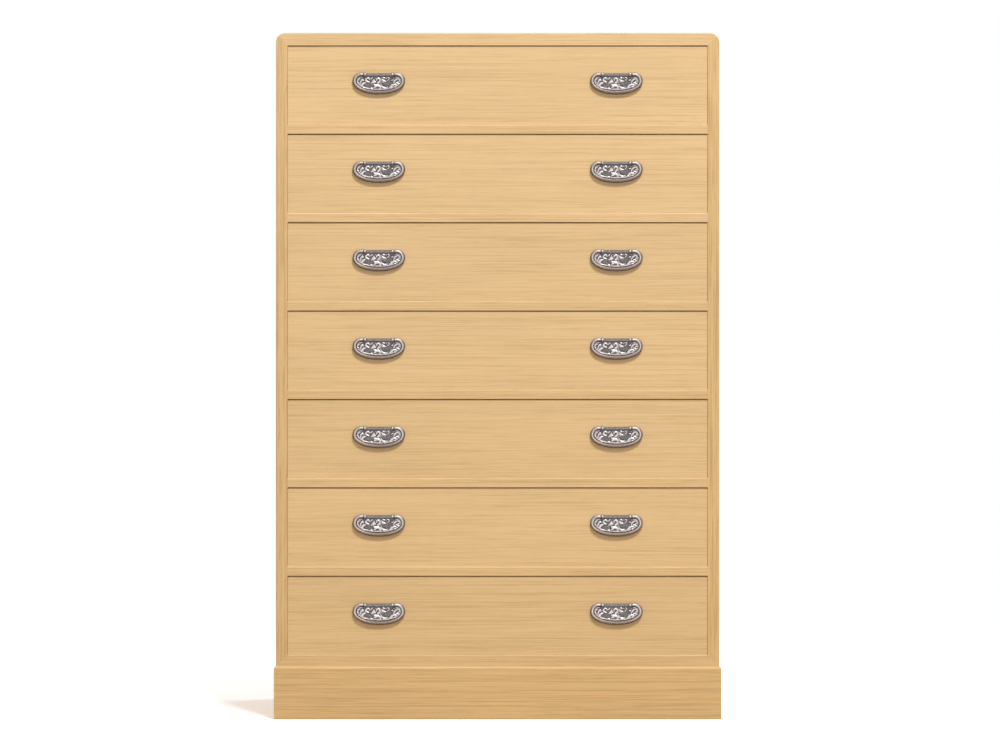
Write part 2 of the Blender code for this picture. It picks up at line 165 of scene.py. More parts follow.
# Scrolls of the plate: how far each is worn bright, and its points in millimetres from the middle of the
# hinge line: right, up, and half the stroke's width
SCROLLS = (
    (1.00, ((-30.8, -6.9, 1.1), (-34.0, -8.1, 2.1), (-36.0, -10.6, 1.9), (-36.0, -13.1, 2.1),
            (-34.0, -14.0, 1.3))),
    (0.95, ((-25.6, -10.8, 1.5), (-27.6, -9.1, 2.4), (-29.8, -11.2, 2.2), (-30.9, -14.5, 1.9),
            (-32.8, -17.5, 1.5), (-34.2, -18.2, 0.8))),
    (1.00, ((-21.8, -14.3, 0.9), (-25.2, -14.9, 2.2), (-27.4, -16.8, 3.0), (-28.8, -19.2, 2.7),
            (-31.0, -20.6, 1.3))),
    (1.00, ((-16.4, -13.1, 1.3), (-19.6, -12.1, 2.2), (-21.9, -9.8, 2.2), (-21.0, -7.2, 2.0),
            (-18.2, -6.1, 1.8), (-15.9, -7.5, 1.6), (-16.0, -9.6, 1.0))),
    (0.95, ((-13.8, -8.4, 1.1), (-12.2, -6.8, 1.8), (-10.6, -5.8, 1.3))),
    (1.00, ((-7.8, -7.5, 1.0), (-8.3, -10.0, 2.2), (-8.6, -12.0, 3.5), (-11.2, -13.8, 2.0),
            (-13.4, -14.9, 0.8))),
    (0.90, ((-8.0, -12.3, 2.0), (-5.8, -12.9, 1.5), (-5.2, -14.0, 0.8))),
    (1.00, ((-3.9, -11.2, 1.1), (-3.7, -8.2, 1.9), (-1.0, -6.5, 1.9), (1.7, -8.3, 2.0),
            (1.6, -11.4, 2.2), (-0.6, -14.0, 2.6), (-2.6, -14.7, 1.5))),
    (0.55, ((3.4, -5.9, 1.1), (4.3, -9.4, 1.1), (3.6, -14.0, 1.3), (1.6, -18.1, 1.5))),
    (0.50, ((-6.6, -5.7, 1.1), (-4.6, -6.6, 0.9))),
    (0.95, ((6.6, -5.3, 1.1), (8.4, -5.8, 1.8), (10.2, -6.5, 1.0))),
    (0.75, ((11.6, -5.7, 1.1), (13.4, -6.9, 1.0))),
    (0.90, ((14.6, -5.1, 1.0), (17.2, -6.1, 1.4), (17.0, -8.1, 1.4), (14.4, -10.2, 1.1))),
    (1.00, ((5.5, -7.7, 1.0), (6.6, -10.0, 2.5), (8.6, -11.2, 1.9), (12.0, -11.7, 0.8))),
    (0.55, ((7.6, -12.0, 1.3), (4.8, -15.1, 1.0))),
    (0.90, ((20.6, -10.3, 0.8), (22.6, -9.8, 1.6), (24.4, -9.6, 0.9))),
    (0.55, ((24.6, -5.9, 1.3), (27.4, -6.5, 1.0))),
    (1.00, ((24.8, -14.9, 1.4), (26.3, -11.4, 2.2), (28.9, -8.4, 2.2), (32.0, -7.2, 2.0),
            (34.9, -8.8, 2.1), (34.8, -11.6, 1.9), (32.4, -12.5, 1.4), (31.3, -11.3, 0.8))),
    (0.95, ((28.4, -14.1, 1.0), (31.2, -14.9, 1.9), (33.6, -16.1, 1.8), (35.0, -17.3, 0.8))),
    (1.00, ((16.0, -23.7, 1.1), (19.6, -22.1, 2.7), (21.6, -19.4, 2.9), (25.0, -17.5, 2.1),
            (28.4, -17.7, 2.1), (30.8, -19.8, 1.1))),
    (0.62, ((23.6, -23.1, 1.0), (25.8, -21.4, 1.9), (28.8, -21.8, 1.1))),
    (1.00, ((4.2, -17.5, 1.3), (4.9, -20.1, 2.0), (8.4, -22.7, 2.1), (12.6, -22.7, 2.0),
            (15.4, -21.0, 0.9))),
    (1.00, ((-8.4, -16.2, 0.9), (-5.6, -18.8, 2.7), (-1.0, -19.1, 2.7), (2.4, -21.0, 2.2),
            (2.2, -23.5, 2.0), (-0.4, -25.1, 1.4), (-1.8, -24.1, 0.8))),
    (1.00, ((-9.0, -22.5, 1.0), (-6.6, -21.6, 2.0), (-4.0, -20.6, 1.3))),
    (0.95, ((-13.8, -23.6, 1.3), (-12.0, -23.8, 2.1), (-10.4, -24.3, 1.1))),
    (0.62, ((-27.6, -22.1, 1.0), (-24.0, -23.1, 1.6), (-20.0, -23.5, 1.4), (-18.2, -24.7, 0.8))),
    (0.60, ((-7.8, -25.1, 1.3), (-4.6, -25.4, 1.1))),
    (0.60, ((6.2, -25.1, 1.1), (9.0, -25.1, 1.0))),
    (0.50, ((13.0, -25.1, 0.9), (17.0, -24.7, 0.8))),
)

# Leaves of the plate: middle, half width and half height in millimetres, and the turn of their lobes. Then
# the waves of their edges, the width of their rising edge, and the depth and width of a vein, as shares
LEAVES = (((-16.0, -18.5), (10.2, 4.7), 0.0), ((13.4, -15.1), (9.0, 5.4), 0.5))
LEAF_LOBES = 5
LEAF_LOBE_DEPTH = 0.16
LEAF_RIPPLES = 3
LEAF_RIPPLE_DEPTH = 0.06
LEAF_EDGE = 0.2
VEIN_DEPTH = 0.35
VEIN_WIDTH = 0.07

# Relief of the plate: the rounding of its bar, the place and half width of its rim, how soon a scroll is
# rubbed and hides the stipple, and how much closer the grid's columns are at its tips
BAR_ROUND = 0.0005
RIM_INSET = 0.0016
RIM_HALF_WIDTH = 0.0021
SCROLL_RUB = 1.35
STIPPLE_COVER = 2
TIP_CROWDING = 0.25

# The most wear of scrolls, leaves, bar and rim, and the shares of wear and thickness left at its edge
SCROLL_WEAR = 0.95
LEAF_WEAR = 0.28
BAR_WEAR = 0.38
RIM_WEAR = 0.60
EDGE_WEAR = 0.65
EDGE_THICKNESS = 0.55

# Grain: how dark and light lines differ from the wood's own colour, and its bands, lines, dashes and
# fibres, each with its length and its pitch in parts of a line's, its detail and its weight
DARK_LINE = (0.84, 0.81, 0.76)
LIGHT_LINE = (1.05, 1.06, 1.08)
GRAIN_LAYERS = (
    (4.0, 8.0, 2.0, 0.14),
    (1.0, 1.0, 1.0, 0.50),
    (0.24, 0.75, 1.0, 0.42),
    (0.08, 0.2, 1.0, 0.22),
)

# The axes along a board's grain and across it, how far its tone shifts its pattern, and how far the layers'
# sum strays from a half
GRAIN_ORDER = {X: (X, Y, Z), Y: (Y, X, Z), Z: (Z, X, Y)}
TONE_STEP = (3.7, 0.61, 0.83)
FIGURE_REACH = 0.14

# The wood's slow wander, its pores and its clouds: length along the grain and across it, and detail
WANDER_NOISE = (0.45, 0.12, 1.0)
PORE_NOISE = (0.024, 0.0006, 1.0)
CLOUD_NOISE = (0.30, 0.05, 2.0)
NOISE_ROUGHNESS = 0.6

# Lowest and highest value of pores, tones and clouds, and the brightness that each of the two gives
PORE_SHADE = (0.62, 0.74, 1.0, 0.88)
TONE_SHADE = (0, 1, 0.975, 1.025)
CLOUD_SHADE = (0.2, 0.8, 0.95, 1.05)

# The wood's roughness in dark lines and in light ones, set against its usual one, and its relief
FIGURE_RANGE = (0.3, 0.7)
WOOD_ROUGHNESS_STEPS = (0.1, -0.08)
PORE_DEPTH = 1.5
WOOD_BUMP = 0.35
WOOD_BUMP_DEPTH = 0.0006
WOOD_SPECULAR = 0.35

# The metal's clouds and pits: how fine they are, how far they shift its wear, and their depth in its relief
METAL_CLOUD_SCALE = 420.0
METAL_CLOUD_DETAIL = 4.0
METAL_CLOUD_WEAR = 0.30
METAL_CLOUD_DEPTH = 0.4
PIT_SCALE = 1500.0
PIT_LEVEL = 0.35
PIT_WEAR = 0.30
PIT_DEPTH = 2.0
METAL_BUMP = 0.5
METAL_BUMP_DEPTH = 0.0002

# The wear at which each of the metal's four colours stands, and its roughness where dark and where bright,
# set against its usual one. On the bails this wear also holds painted highlights and painted shade
WEAR_STOPS = (0.05, 0.30, 0.58, 0.95)
METAL_ROUGHNESS_STEPS = (0.22, -0.04)

# The floor: the share of its radius that is solid, and its gloss
FLOOR_SOLID = 0.3
FLOOR_ROUGHNESS = 0.9
FLOOR_SPECULAR = 0.1

# Lamps: place to the right, before the case's front and up, height of the point aimed at, and size. A rear
# lamp's place is to one side, behind the chest's middle and up
KEY_LAMP = ((1.3, 3.9, 6.25), 0.55, (1.2, 0.95))
FILL_LAMP = ((0.6, 8.6, 1.6), 0.6, (6.0, 3.0))
REAR_LAMP = ((3.4, 2.2, 1.7), 0.6, (2.4, 2.0))

tones = np.random.default_rng(11)


def float_value(label, note, default, **kind):
    """A property that holds one number."""
    return bpy.props.FloatProperty(name=label, description=note, default=default, **kind)


def length(label, note, default):
    """A property that holds a length in metres."""
    return float_value(label, note, default, unit="LENGTH", precision=5)


def share(label, note, default):
    """A property that holds a share from 0 to 1."""
    return float_value(label, note, default, subtype="FACTOR", min=0, max=1)


def amount(label, note, default):
    """A property that holds how much there is of something, in parts of its usual amount."""
    return float_value(label, note, default, min=0)


def power(label, note, default):
    """A property that holds a lamp's power in watts."""
    return float_value(label, note, default, unit="POWER")


def colour(label, note, default):
    """A property that holds a colour, as scene linear values."""
    kind = {"subtype": "COLOR", "min": 0, "max": 1}
    return bpy.props.FloatVectorProperty(name=label, description=note, default=default, **kind)


class ChestWoods(bpy.types.PropertyGroup):
    """The woods' colours, the size of their grain, and the easing of the boards' arrises."""

    front: colour("Drawer fronts", "Colour of the drawer fronts", (0.728, 0.498, 0.251))
    case: colour("Case", "Colour of the top, the bottom and the shelves", (0.720, 0.484, 0.236))
    side: colour("Sides", "Colour of the case's sides", (0.685, 0.444, 0.200))
    plinth: colour("Plinth", "Colour of the plinth boards", (0.690, 0.450, 0.208))
    inside: colour("Drawer boxes", "Colour of the plain wood inside the drawers", (0.740, 0.560, 0.340))
    panel: colour("Back panel", "Colour of the plain wood of the back", (0.700, 0.510, 0.290))
    line_pitch: length("Line pitch", "Usual distance between two grain lines", 0.0014)
    line_length: length("Line length", "Usual length of a grain line", 0.30)
    wander: length("Wander", "How far a grain line strays from straight", 0.0010)
    front_figure: amount("Front figure", "Strength of the drawer fronts' grain", 0.9)
    case_figure: amount("Case figure", "Strength of the case's grain", 1.25)
    side_figure: amount("Side figure", "Strength of the case sides' grain", 1.9)
    side_coarse: amount("Side coarseness", "Pitch of the case sides' grain, in parts of the usual", 2.0)
    plinth_figure: amount("Plinth figure", "Strength of the plinth's grain", 1.6)
    roughness: share("Roughness", "Roughness of the finished wood", 0.52)
    case_ease: length("Case easing", "Radius of the case's and shelves' front arrises", 0.0022)
    front_ease: length("Front easing", "Radius of the drawer fronts' arrises", 0.0012)
    plinth_ease: length("Plinth easing", "Radius of the plinth's arrises", 0.0016)
    box_ease: length("Box easing", "Radius of the drawer boxes' arrises", 0.0015)


class ChestPulls(bpy.types.PropertyGroup):
    """The pulls' metal and the depth of the plates' relief."""

    bright: colour("Worn metal", "Colour where the dark finish is worn off", (0.47, 0.449, 0.444))
    grey: colour("Half worn metal", "Colour where the dark finish is half worn", (0.385, 0.338, 0.328))
    leaf: colour("Leaves", "Colour of the plates' stippled leaves", (0.091, 0.082, 0.080))
    dark: colour("Dark finish", "Colour of the dark finish in the plates' hollows", (0.132, 0.108, 0.109))
    # The bails' brown colours are partly a painted reflection of the warm wood around them
    brown: colour("Brown finish", "Colour of the bails' finish where it is rubbed", (0.215, 0.170, 0.148))
    deep_brown: colour("Deep brown", "Colour of the bails' finish in hollows", (0.092, 0.060, 0.046))
    roughness: share("Roughness", "Roughness of the worn metal", 0.42)
    ground: length("Ground", "Depth of the relief's ground below the hinge line", 0.0026)
    scroll: length("Scroll height", "Height of the scrolls above the ground", 0.0014)
    leaf_height: length("Leaf height", "Height of the leaves above the ground", 0.0008)
    bar: length("Bar", "Depth of the bar between the posts, from the plate's top down", 0.0048)
    bar_height: length("Bar height", "Height above the ground of the bar between the posts", 0.0015)
    rim_height: length("Rim height", "Height above the ground of the rim round the plate", 0.0010)
    edge: length("Edge", "Width of the plate's rounded edge", 0.0007)


class ChestStage(bpy.types.PropertyGroup):
    """The floor, the light and the camera."""

    distance: length("Camera distance", "From the case's front to the camera", 7.0)
    eye_height: length("Eye height", "Height of the camera above the floor", 0.5850)
    eye_across: length("Eye across", "Camera's place to the right of the chest's middle", 0.004)
    floor_radius: length("Floor radius", "Where the floor has faded into the backdrop", 2.6)
    floor: colour("Floor", "Colour of the floor, as the chest is lit by it", (0.32, 0.235, 0.08))
    floor_seen: amount("Floor seen", "How pale the floor looks to the camera", 1.3)
    ambient: share("Ambient", "Strength of the even light from all round", 0.38)


def extent(node):
    """Lowest and highest corner of a frame node, as arrays."""
    low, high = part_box(node)
    return np.array(low), np.array(high)


def loft(name, rings, ring_weight=0.0, rail_weight=0.0, **values):
    """A closed skin over rings of points, with a flat cap on the first ring and on the last.

    rings is an array of ring, point and place. ring_weight is the share of the piece's easing on the edges
    that run round a ring, and rail_weight on those from a ring to the next. values are numbers to keep at
    each point. Points that coincide are merged, which closes poles and rebates."""
    count, around = rings.shape[:2]
    index = np.arange(count * around).reshape(count, around)
    beside = np.roll(index, -1, axis=1)
    walls = np.stack([index[:-1], beside[:-1], beside[1:], index[1:]], axis=-1).reshape(-1, 4)
    mesh = bpy.data.meshes.new(name)
    caps = [index[0, ::-1].tolist(), index[-1].tolist()]
    mesh.from_pydata(rings.reshape(-1, 3), [], walls.tolist() + caps)

    ends = np.empty(2 * len(mesh.edges), dtype=np.int32)
    mesh.edges.foreach_get("vertices", ends)
    ring, place = np.divmod(ends.reshape(-1, 2), around)
    forward = (place[:, 0] + 1) % around == place[:, 1]
    start = np.where(forward, place[:, 0], place[:, 1])
    on_ring = np.broadcast_to(ring_weight, (count, around))[ring[:, 0], start]
    on_rail = np.broadcast_to(rail_weight, (count, around))[ring.min(axis=1), place[:, 0]]
    weight = np.where(ring[:, 0] == ring[:, 1], on_ring, on_rail)
    put_values(mesh, "bevel_weight_edge", "EDGE", weight)
    for key, value in values.items():
        put_values(mesh, key, "POINT", np.broadcast_to(value, (count, around)))

    skin = bmesh.new()
    skin.from_mesh(mesh)
    bmesh.ops.remove_doubles(skin, verts=skin.verts, dist=SAME_PLACE)
    bmesh.ops.recalc_face_normals(skin, faces=skin.faces)
    skin.to_mesh(mesh)
    skin.free()
    mesh.shade_smooth()
    mesh.set_sharp_from_angle(angle=SHARP_ANGLE)
    return mesh


def put_values(mesh, key, domain, values):
    """Keeps one number for each point or edge of a mesh."""
    attribute = mesh.attributes.new(key, "FLOAT", domain)
    attribute.data.foreach_set("value", np.ascontiguousarray(values, dtype=np.float32).ravel())


def add_piece(name, mesh, material, body, slot, *nodes):
    """Links a piece with its material, ties it to its body, and hides the frame nodes that it stands for;
    its finish is not used.
    """
    mesh.materials.append(material)
    piece = bpy.data.objects.new(name, mesh)
    bpy.context.scene.collection.objects.link(piece)
    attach(piece, body)
    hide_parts(*nodes)
    return piece


def tone():
    """The next board's own number from 0 to 1, which shifts its grain and its colour."""
    return tones.random()


def add_board(name, rings, ring_weight, rail_weight, width, *ties):
    """Adds a board with the next tone, and rounds its weighted edges, each by its weight times that width.

    ties are its material, body, finish and frame node; the finish is not used."""
    mesh = loft(name, rings, ring_weight, rail_weight, tone=tone())
    bevel = add_piece(name, mesh, *ties).modifiers.new("eased arrises", "BEVEL")
    bevel.width = width
    bevel.segments = EASE_FACETS
    bevel.limit_method = "WEIGHT"
    bevel.harden_normals = True


def box_rings(low, high):
    """Two rectangular rings of a board between two corners, the first at its lower end along Y."""
    x = np.array([low[X], high[X], high[X], low[X]])
    z = np.array([low[Z], low[Z], high[Z], high[Z]])
    return np.stack([np.column_stack([x, np.full(4, y), z]) for y in (low[Y], high[Y])])


def upright_rings(outline, low, high):
    """Two rings of a board with that outline seen from above, at its foot and at its head."""
    return np.stack([np.column_stack([outline, np.full(len(outline), z)]) for z in (low[Z], high[Z])])


def both_sides(right):
    """A whole outline from its right half, which is followed by its mirror image in reverse order."""
    return np.vstack([right, right[::-1] * (-1, 1)])


def through(points, count, closed=False):
    """A smooth curve through the given points: a cubic between each two, read at even steps.

    The slope at a point is half the step from the point before it to the point after it."""
    points = np.asarray(points, dtype=float)
    if closed:
        points = np.vstack([points, points[:1]])
        inner = (np.roll(points[:-1], -1, axis=0) - np.roll(points[:-1], 1, axis=0)) / 2
        slope = np.vstack([inner, inner[:1]])
    else:
        slope = np.gradient(points, axis=0)
    place = np.linspace(0, len(points) - 1, count, endpoint=not closed)
    first = np.minimum(place.astype(int), len(points) - 2)
    t = (place - first)[:, None]
    leave = points[first] * (1 + 2 * t) + slope[first] * t
    arrive = points[first + 1] * (3 - 2 * t) - slope[first + 1] * (1 - t)
    return leave * (1 - t) ** 2 + arrive * t**2


def smooth_step(value):
    """0 below 0, 1 above 1, and a soft S between them."""
    value = np.clip(value, 0, 1)
    return value * value * (3 - 2 * value)


def add_node(tree, kind, inputs=None, **settings):
    """Adds a shader node. An input given as a socket is linked, and any other is set."""
    node = tree.nodes.new(kind)
    for key, value in settings.items():
        setattr(node, key, value)
    for key, value in (inputs or {}).items():
        if isinstance(value, bpy.types.NodeSocket):
            tree.links.new(value, node.inputs[key])
        else:
            node.inputs[key].default_value = value
    return node


def calculate(tree, operation, *inputs):
    """The result of a Math node on sockets and numbers."""
    return add_node(tree, "ShaderNodeMath", dict(enumerate(inputs)), operation=operation).outputs[0]


def calculate_vector(tree, operation, first, second):
    """The result of a Vector Math node on two vectors."""
    return add_node(tree, "ShaderNodeVectorMath", {0: first, 1: second}, operation=operation).outputs[0]


def remap(tree, value, low, high, at_low, at_high, **settings):
    """A value carried over from one range to another, and held at its ends."""
    inputs = {0: value, 1: low, 2: high, 3: at_low, 4: at_high}
    return add_node(tree, "ShaderNodeMapRange", inputs, **settings).outputs[0]


def kept_value(tree, key):
    """The number that a mesh keeps at each point."""
    return add_node(tree, "ShaderNodeAttribute", attribute_name=key).outputs["Fac"]


def seen(tree):
    """1 for rays from the camera, from reflections and through glass, and 0 for those that carry light."""
    rays = add_node(tree, "ShaderNodeLightPath").outputs
    either = calculate(tree, "MAXIMUM", rays["Is Camera Ray"], rays["Is Glossy Ray"])
    return calculate(tree, "MAXIMUM", either, rays["Is Transmission Ray"])


def add_bump(tree, shader, strength, distance, height):
    """Roughens a shader's surface by a height."""
    inputs = {"Strength": strength, "Distance": distance, "Height": height}
    bump = add_node(tree, "ShaderNodeBump", inputs)
    tree.links.new(bump.outputs["Normal"], shader.inputs["Normal"])


def ramp(tree, factor, stops):
    """The colour of a ramp with the given stops of place and colour."""
    node = add_node(tree, "ShaderNodeValToRGB", {"Fac": factor})
    elements = node.color_ramp.elements
    while len(elements) < len(stops):
        elements.new(1.0)
    for element, (place, shade) in zip(elements, stops):
        element.position = place
        element.color = (*shade, 1.0)
    return node.outputs["Color"]


def new_material(name):
    """A fresh material, with its node tree and its surface shader."""
    material = bpy.data.materials.new(name)
    material.use_nodes = True
    return material, material.node_tree, material.node_tree.nodes["Principled BSDF"]


def wood(name, along, base, strength, woods, coarse=1.0):
    """Wood with its grain along one axis, and how strong and how coarse its figure is.

    Noise drawn out along the board gives bands, lines, dashes and fibres, and a slow noise makes them
    wander. Their weighted sum picks a colour from the dark lines' to the light lines'. Fine pores darken
    it, slow clouds shift its level, and each board's tone shifts its pattern and its level."""
    if name in bpy.data.materials:
        return bpy.data.materials[name]
    material, tree, shader = new_material(name)
    place = add_node(tree, "ShaderNodeTexCoord").outputs["Object"]
    parts = add_node(tree, "ShaderNodeSeparateXYZ", {0: place}).outputs
    order = {slot: parts[axis] for slot, axis in enumerate(GRAIN_ORDER[along])}
    turned = add_node(tree, "ShaderNodeCombineXYZ", order).outputs[0]
    own = kept_value(tree, "tone")
    step = add_node(tree, "ShaderNodeVectorMath", {0: TONE_STEP, "Scale": own}, operation="SCALE")
    board = calculate_vector(tree, "ADD", turned, step.outputs[0])

    def noise(start, along_length, across_length, detail):
        scale = (1 / along_length, 1 / across_length, 1 / across_length)
        stretched = calculate_vector(tree, "MULTIPLY", start, scale)
        inputs = {"Vector": stretched, "Scale": 1.0, "Detail": detail, "Roughness": NOISE_ROUGHNESS}
        return add_node(tree, "ShaderNodeTexNoise", inputs).outputs["Fac"]

    slow = calculate(tree, "SUBTRACT", noise(board, *WANDER_NOISE), 0.5)
    stray = calculate(tree, "MULTIPLY", slow, 2 * woods.wander)
    shift = add_node(tree, "ShaderNodeCombineXYZ", {1: stray, 2: stray}).outputs[0]
    grain = calculate_vector(tree, "ADD", board, shift)

    figure = 0.5 - 0.5 * sum(weight for *_, weight in GRAIN_LAYERS)
    for long, wide, detail, weight in GRAIN_LAYERS:
        layer = noise(grain, long * woods.line_length, wide * woods.line_pitch * coarse, detail)
        figure = calculate(tree, "MULTIPLY_ADD", layer, weight, figure)
    dark = tuple(np.multiply(base, DARK_LINE))
    light = tuple(np.multiply(base, LIGHT_LINE))
    reach = FIGURE_REACH / strength
    shade = ramp(tree, figure, ((0.5 - reach, dark), (0.5, tuple(base)), (0.5 + reach, light)))
    pore = remap(tree, noise(grain, *PORE_NOISE), *PORE_SHADE)
    level = remap(tree, own, *TONE_SHADE)
    drift = remap(tree, noise(board, *CLOUD_NOISE), *CLOUD_SHADE)
    value = calculate(tree, "MULTIPLY", calculate(tree, "MULTIPLY", pore, level), drift)
    shade = add_node(tree, "ShaderNodeHueSaturation", {"Value": value, "Color": shade}).outputs[0]
    tree.links.new(shade, shader.inputs["Base Color"])
    rough, smooth = (woods.roughness + change for change in WOOD_ROUGHNESS_STEPS)
    tree.links.new(remap(tree, figure, *FIGURE_RANGE, rough, smooth), shader.inputs["Roughness"])
    relief = calculate(tree, "MULTIPLY_ADD", pore, PORE_DEPTH, figure)
    add_bump(tree, shader, WOOD_BUMP, WOOD_BUMP_DEPTH, relief)
    shader.inputs["Specular IOR Level"].default_value = WOOD_SPECULAR
    return material


def metal_with_wear_and_painted_light(name, deep, rubbed, pulls):
    """Cast metal with a dark finish that is worn off where it stands proud, by each point's own wear.

    The colours go from the finish in its hollows through the rubbed finish and half worn metal to bright
    metal. On the bails the wear also paints highlights and shade, and their brown colours partly paint the
    wood's reflection. Clouds make the wear uneven, and pits roughen stippled places."""
    if name in bpy.data.materials:
        return bpy.data.materials[name]
    material, tree, shader = new_material(name)
    place = add_node(tree, "ShaderNodeTexCoord").outputs["Object"]
    clouds = {"Vector": place, "Scale": METAL_CLOUD_SCALE, "Detail": METAL_CLOUD_DETAIL}
    cloud = add_node(tree, "ShaderNodeTexNoise", clouds).outputs["Fac"]
    dots = add_node(tree, "ShaderNodeTexVoronoi", {"Vector": place, "Scale": PIT_SCALE}).outputs["Distance"]
    uneven = calculate(tree, "MULTIPLY_ADD", cloud, METAL_CLOUD_WEAR, -METAL_CLOUD_WEAR / 2)
    # On the bails the kept wear also holds painted highlights and painted shade
    worn = calculate(tree, "ADD", kept_value(tree, "wear"), uneven)
    raised = calculate(tree, "SUBTRACT", dots, PIT_LEVEL)
    pits = calculate(tree, "MULTIPLY", raised, kept_value(tree, "stipple"))
    worn = calculate(tree, "MULTIPLY_ADD", pits, PIT_WEAR, worn)
    stops = tuple(zip(WEAR_STOPS, (deep, rubbed, pulls.grey, pulls.bright)))
    tree.links.new(ramp(tree, worn, stops), shader.inputs["Base Color"])
    rough, smooth = (pulls.roughness + change for change in METAL_ROUGHNESS_STEPS)
    tree.links.new(remap(tree, worn, 0, 1, rough, smooth), shader.inputs["Roughness"])
    relief = calculate(tree, "MULTIPLY", cloud, METAL_CLOUD_DEPTH)
    relief = calculate(tree, "MULTIPLY_ADD", pits, PIT_DEPTH, relief)
    add_bump(tree, shader, METAL_BUMP, METAL_BUMP_DEPTH, relief)
    shader.inputs["Metallic"].default_value = 1.0
    return material


def round_corner(centre, radius, start, end):
    """Points of an arc in the front view, from one angle to another."""
    angle = np.linspace(start, end, CORNER_FACETS)
    return np.column_stack([centre[0] + radius * np.cos(angle), centre[1] + radius * np.sin(angle)])


def between_depths(outline, rebated, depths):
    """Rings of a case board: its front outline, and behind its rebate the outline cut back by that."""
    rings = []
    for shape, y in zip((outline, outline, rebated, rebated), depths):
        rings.append(np.column_stack([shape[:, 0], np.full(len(shape), y), shape[:, 1]]))
    return np.stack(rings)


class CHEST_OT_case(bpy.types.Operator):
    """Builds the two sides, the top and the bottom board, mitred together, with round upper corners"""

    bl_idname = "chest.case"
    bl_label = "Case boards"

    corner_radius: length("Corner radius", "Radius of the case's upper corners", 0.016)
    bay_ease: share("Bay easing", "Share of the easing beside and above the drawers", 0.10)

    def execute(self, context):
        woods = context.scene.chest_woods
        side_low, side_high = extent("right_side")
        top_low, top_high = extent("top_board")
        bottom_low, bottom_high = extent("bottom_board")
        panel_low, panel_high = extent("back_panel")
        rebate = panel_high[X] - side_low[X]
        depths = (side_low[Y], panel_low[Y], panel_low[Y], side_high[Y])
        bay, edge = side_low[X], side_high[X]
        ceiling, top = top_low[Z], top_high[Z]
        floor, base = bottom_high[Z], bottom_low[Z] - JOINT_GAP + REST_GAP

        radius = self.corner_radius
        centre = np.array([edge - radius, top - radius])
        towards = np.array([edge - bay, top - ceiling])
        from_centre = np.array([bay, ceiling]) - centre
        half_b = towards @ from_centre
        outside = from_centre @ from_centre - radius**2
        reach = np.sqrt(half_b**2 - (towards @ towards) * outside) - half_b
        meeting = from_centre + towards * reach / (towards @ towards)
        turn = np.arctan2(meeting[1], meeting[0])
        up_slope = (top - ceiling) / (edge - bay)
        down_slope = (floor - base) / (edge - bay)

        def side_outline(cut):
            lower = (bay + cut, floor - cut * down_slope)
            upper = (bay + cut, ceiling + cut * up_slope)
            return np.vstack([lower, (edge, base), round_corner(centre, radius, 0, turn), upper])

        def top_outline(cut):
            inner = (bay + cut / up_slope, ceiling + cut)
            return both_sides(np.vstack([inner, round_corner(centre, radius, turn, pi / 2)]))

        def bottom_outline(cut):
            return both_sides(np.array([(edge, base), (bay + cut / down_slope, floor - cut)]))

        upright = wood("side wood upright", Z, woods.side, woods.side_figure, woods, woods.side_coarse)
        level = wood("case wood level", X, woods.case, woods.case_figure, woods)
        boards = (
            ("left_side", upright, side_outline, -1),
            ("right_side", upright, side_outline, 1),
            ("top_board", level, top_outline, 1),
            ("bottom_board", level, bottom_outline, 1),
        )
        for node, material, outline, side in boards:
            rings = between_depths(outline(0), outline(rebate), depths)
            after = np.roll(rings[0], -1, axis=0)
            step, middle = np.abs(after - rings[0]), (np.abs(after) + np.abs(rings[0])) / 2
            is_mitre = (step[:, [X, Z]] > MITRE_SHARE * rebate).all(axis=1)
            is_inner = (middle[:, X] < bay + SAME_PLACE) & (middle[:, Z] < ceiling + SAME_PLACE)
            is_floor = np.abs(middle[:, Z] - floor) < SAME_PLACE
            is_base = np.abs(middle[:, Z] - base) < SAME_PLACE
            weight = np.zeros(rings.shape[:2])
            weight[0] = np.where(is_inner & ~is_floor, self.bay_ease, 1)
            weight[3] = REAR_EASE
            weight[:, is_mitre | is_base] = 0
            rings[..., X] *= side
            ties = (material, "case", "case_wood", node)
            add_board(f"{node}_wood", rings, weight, 0.0, woods.case_ease, *ties)
        return {"FINISHED"}


class CHEST_OT_shelves(bpy.types.Operator):
    """Builds the shelves: their front edges are the rails between the drawers"""

    bl_idname = "chest.shelves"
    bl_label = "Shelves"

    stop: length("Housing stop", "From the shelf's front edge back to its housed ends", 0.014)
    under_ease: share("Under easing", "Share of the easing on the lower front arris", 0.25)

    def execute(self, context):
        woods = context.scene.chest_woods
        material = wood("case wood level", X, woods.case, woods.case_figure, woods)
        bay = extent("right_side")[0][X]
        for number in range(1, DRAWER_COUNT):
            node = f"shelf_{number}"
            low, high = extent(node)
            stop = low[Y] + self.stop
            right = np.array([(bay, low[Y]), (bay, stop), (high[X], stop), (high[X], high[Y])])
            rings = upright_rings(both_sides(right), low, high)
            weight = np.zeros(rings.shape[:2])
            weight[:, -1] = (self.under_ease, 1)
            ties = (material, "case", "case_wood", node)
            add_board(f"{node}_wood", rings, weight, 0.0, woods.case_ease, *ties)
        return {"FINISHED"}


